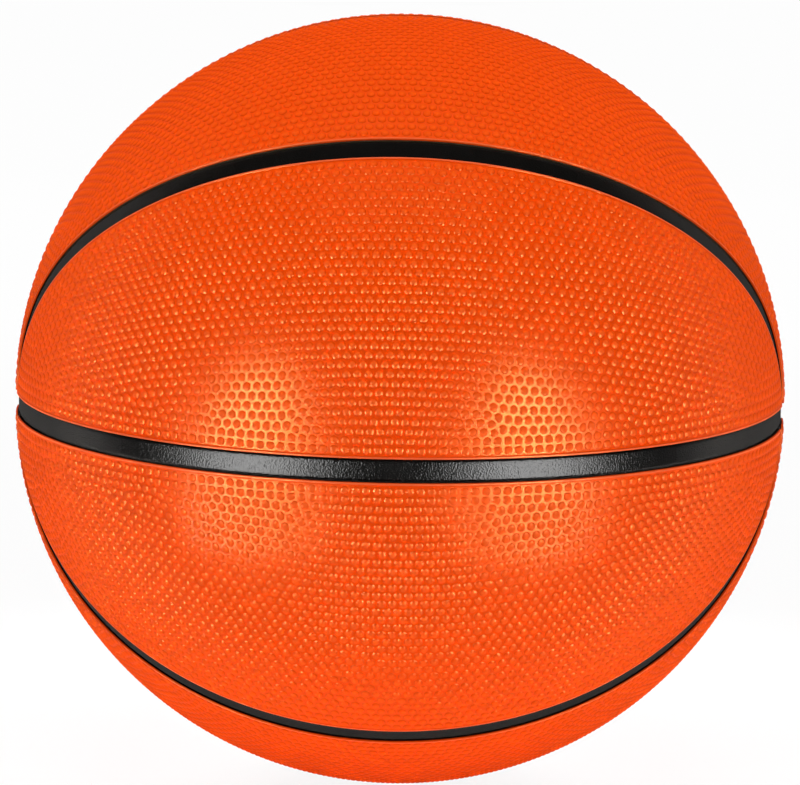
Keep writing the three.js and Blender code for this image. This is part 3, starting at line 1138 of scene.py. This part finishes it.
class BALL_OT_studio(bpy.types.Operator):
    """Add the floor, the lamps and the camera."""

    bl_idname = "ball.studio"
    bl_label = "Studio"

    FLOOR_HALF = 12.0
    # A softbox leans back: its foot and head from the ball's middle, its head's level, its width
    SOFTBOX = {"foot": 0.25, "head": 0.6, "top": 0.16, "width": 0.17}
    GLINTS = (1.35, 1.05, 0.75)  # sizes of the oval lamps for a softbox's highlight, as shares of its own
    GLINT_LEAD = 5 * MM  # of each of these in front of the one before
    GLINT_SINK = 0.02  # of all of them towards the softbox's foot, as a share of its slope
    FOOT_FILL = {"distance": 0.09, "width": 0.24, "depth": 0.05}
    SKY_FOOT, SKY_TOP = 0.12, 0.2  # levels between which the white of the horizon fades out
    FILL = {"distance": 1.6, "width": 1.2, "height": 1.2}
    TOP_RISE, FRONT_RISE, SIDE_RISE = math.radians(80), math.radians(20), math.radians(15)  # of the fills
    SIDE_TURN = math.radians(100)  # of a side fill, from the front
    NEAR_GLOW = 0.88  # share of the floor that is plain white to the camera, beside the ball
    FAR_GLOW = 0.98  # the same share, away from the ball and its shadow
    GLOW_NEAR = 0.25  # distances from the ball's foot that go with them
    GLOW_FAR = 1.0

    def execute(self, context):
        studio = context.scene.ball_studio
        self.add_floor(studio)
        self.add_lamps(studio)
        self.add_camera(studio)
        self.light_world(studio)
        context.scene.view_settings.view_transform = "Standard"
        return {"FINISHED"}

    def direction(self, azimuth, elevation):
        """A unit vector from the ball towards an azimuth, from -Y towards +X, and an elevation."""
        level = math.cos(elevation)
        return Vector((level * math.sin(azimuth), -level * math.cos(azimuth), math.sin(elevation)))

    def add_floor(self, studio):
        bm = bmesh.new()
        bmesh.ops.create_grid(bm, x_segments=1, y_segments=1, size=self.FLOOR_HALF)
        bmesh.ops.translate(bm, verts=bm.verts, vec=(0, 0, -COVER_OUTSIDE))
        floor = bpy.data.objects.new("floor", finished(bm, "floor"))
        bpy.context.scene.collection.objects.link(floor)
        floor.data.materials.append(self.floor_finish(studio))
        floor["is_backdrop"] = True

    def floor_finish(self, studio):
        """White to the camera and in reflections, with the ball's shadow kept faint on it."""
        material, shader, place = start_finish("studio_floor")
        tree = material.node_tree
        set_sockets(shader, {"Base Color": opaque(studio.floor), "Roughness": 0.9})
        seen = self.seen_white(tree)
        away = ramp(radius_of(place), self.GLOW_NEAR, self.GLOW_FAR)
        share = seen * (self.NEAR_GLOW + away * (self.FAR_GLOW - self.NEAR_GLOW))
        glow = place.node("ShaderNodeEmission", inputs={"Color": (1, 1, 1, 1), "Strength": 1.0})
        surface = place.node("ShaderNodeMixShader", inputs={0: share, 1: Link(shader.outputs[0]), 2: glow})
        tree.links.new(surface.socket, tree.nodes["Material Output"].inputs["Surface"])
        return material

    def seen_white(self, tree):
        """A link that is 1 for the rays to which the background is plain white."""
        rays = tree.nodes.new("ShaderNodeLightPath")
        kinds = ("Camera", "Glossy", "Transmission")
        return limited(sum(Link(rays.outputs[f"Is {kind} Ray"]) for kind in kinds))

    def add_lamp(self, name, place, facing, power, width, height):
        """A soft lamp that isn't seen itself."""
        lamp = bpy.data.lights.new(name, "AREA")
        lamp.shape = "RECTANGLE"
        lamp.size = width
        lamp.size_y = height
        lamp.energy = power
        holder = bpy.data.objects.new(name, lamp)
        holder.location = place
        holder.rotation_euler = (-facing).to_track_quat("Z", "Y").to_euler()
        holder.visible_camera = False
        bpy.context.scene.collection.objects.link(holder)
        return holder

    def softbox_place(self, azimuth):
        """A softbox's middle, its slope from foot to head and the way it faces."""
        box = self.SOFTBOX
        outwards = self.direction(azimuth, 0)
        foot = outwards * box["foot"] + UP * (FLOOR_GAP - COVER_OUTSIDE)
        head = outwards * box["head"] + UP * box["top"]
        slope = head - foot
        return (foot + head) / 2, slope, slope.cross(UP).cross(slope).normalized()

    def add_softbox(self, name, azimuth, studio):
        """A softbox that stands on the floor and lights the ball without a highlight of its own."""
        place, slope, facing = self.softbox_place(azimuth)
        width = self.SOFTBOX["width"]
        holder = self.add_lamp(name, place, facing, studio.softbox_power, width, slope.length)
        holder.visible_glossy = False

    def add_glints(self, name, azimuth, studio):
        """Oval lamps in a softbox, one before the other, that only show as its soft-edged highlight."""
        place, slope, facing = self.softbox_place(azimuth)
        for i, share in enumerate(self.GLINTS):
            width = self.SOFTBOX["width"] * share
            ahead = place - slope * self.GLINT_SINK + facing * self.GLINT_LEAD * (i + 1)
            watts = studio.glint_power * share**2
            holder = self.add_lamp(f"{name}_{i + 1}", ahead, facing, watts, width, slope.length * share)
            holder.data.shape = "ELLIPSE"
            holder.visible_diffuse = False

    def add_fill(self, name, azimuth, elevation, power):
        """A wide fill that lights the ball without a highlight of its own."""
        fill = self.FILL
        place = self.direction(azimuth, elevation) * fill["distance"]
        holder = self.add_lamp(name, place, -place, power, fill["width"], fill["height"])
        holder.visible_glossy = False

    def add_foot_fill(self, name, azimuth, power):
        """A lamp that lies on the floor beside the ball and lights its under side."""
        fill = self.FOOT_FILL
        place = self.direction(azimuth, 0) * fill["distance"] + UP * (FLOOR_GAP - COVER_OUTSIDE)
        holder = self.add_lamp(name, place, UP, power, fill["width"], fill["depth"])
        holder.visible_glossy = False

    def add_lamps(self, studio):
        front, back = studio.azimuth, studio.azimuth + math.pi
        left, right = front + studio.left_turn, front + studio.right_turn
        for name, azimuth in {"left": left, "right": right}.items():
            self.add_softbox(name + "_softbox", azimuth, studio)
            self.add_softbox("back_" + name + "_softbox", azimuth + math.pi, studio)
        for name, azimuth in {"left": left, "right": right, "back": back}.items():
            self.add_glints(name + "_glint", azimuth, studio)
        self.add_fill("top_fill", 0, self.TOP_RISE, studio.top_power)
        for name, azimuth in {"front": front, "back": back}.items():
            self.add_foot_fill(name + "_foot_fill", azimuth, studio.foot_power)
            self.add_fill(name + "_fill", azimuth, self.FRONT_RISE, studio.front_power)
        for name, turn in {"left": -self.SIDE_TURN, "right": self.SIDE_TURN}.items():
            self.add_fill(name + "_fill", turn, self.SIDE_RISE, studio.side_power)

    def add_camera(self, studio):
        camera = bpy.data.cameras.new("camera")
        camera.lens = studio.lens
        camera.shift_y = studio.shift
        holder = bpy.data.objects.new("camera", camera)
        back = self.direction(studio.azimuth, studio.elevation)
        holder.location = back * studio.distance
        turn = (-back).to_track_quat("-Z", "Y") @ Quaternion(UP, studio.roll)
        holder.rotation_euler = turn.to_euler()
        bpy.context.scene.collection.objects.link(holder)
        bpy.context.scene.camera = holder

    def light_world(self, studio):
        """A dim light from all round, with a horizon that is white to the camera and in reflections."""
        world = bpy.data.worlds.new("studio")
        world.use_nodes = True
        tree = world.node_tree
        background = tree.nodes["Background"]
        way = Link(tree.nodes.new("ShaderNodeTexCoord").outputs["Generated"])
        level = way.node("ShaderNodeSeparateXYZ", inputs={0: way}, output="Z")
        white = ramp(level, self.SKY_TOP, self.SKY_FOOT) * self.seen_white(tree)
        strength = studio.world + (1 - studio.world) * white
        set_sockets(background, {"Color": (1, 1, 1, 1), "Strength": strength})
        bpy.context.scene.world = world


OPERATORS = (
    BALL_OT_studio,
    BALL_OT_oval_panels,
    BALL_OT_band_panels,
    BALL_OT_channel_strips,
    BALL_OT_inner_layers,
    BALL_OT_valve_housing,
    BALL_OT_valve_stopper,
)
GROUPS = {
    "ball_cover": BALL_PG_cover,
    "ball_valve": BALL_PG_valve,
    "ball_finish": BALL_PG_finish,
    "ball_studio": BALL_PG_studio,
}


class BALL_PT_sidebar(bpy.types.Panel):
    """The ball's sizes, colours and building steps."""

    bl_idname = "BALL_PT_sidebar"
    bl_label = "Basketball"
    bl_space_type = "VIEW_3D"
    bl_region_type = "UI"
    bl_category = "Ball"

    def draw(self, context):
        for operator in OPERATORS:
            self.layout.operator(operator.bl_idname)
        for group, kind in GROUPS.items():
            box = self.layout.box()
            for name in kind.__annotations__:
                box.prop(getattr(context.scene, group), name)


CLASSES = (*GROUPS.values(), *OPERATORS, BALL_PT_sidebar)


def register():
    for kind in CLASSES:
        bpy.utils.register_class(kind)
    for group, kind in GROUPS.items():
        setattr(bpy.types.Scene, group, PointerProperty(type=kind))


def unregister():
    for group in GROUPS:
        delattr(bpy.types.Scene, group)
    for kind in reversed(CLASSES):
        bpy.utils.unregister_class(kind)


def main():
    register()
    bpy.ops.ball.studio()
    bpy.ops.ball.oval_panels()
    bpy.ops.ball.band_panels()
    bpy.ops.ball.channel_strips()
    bpy.ops.ball.inner_layers()
    bpy.ops.ball.valve_housing()
    bpy.ops.ball.valve_stopper()
    visual_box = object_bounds()
    boxes = {"cad": cad_box, "visual": visual_box}
    sizes = {name: [list(corner) for corner in box] for name, box in boxes.items()}


if __name__ == "__main__":
    main()
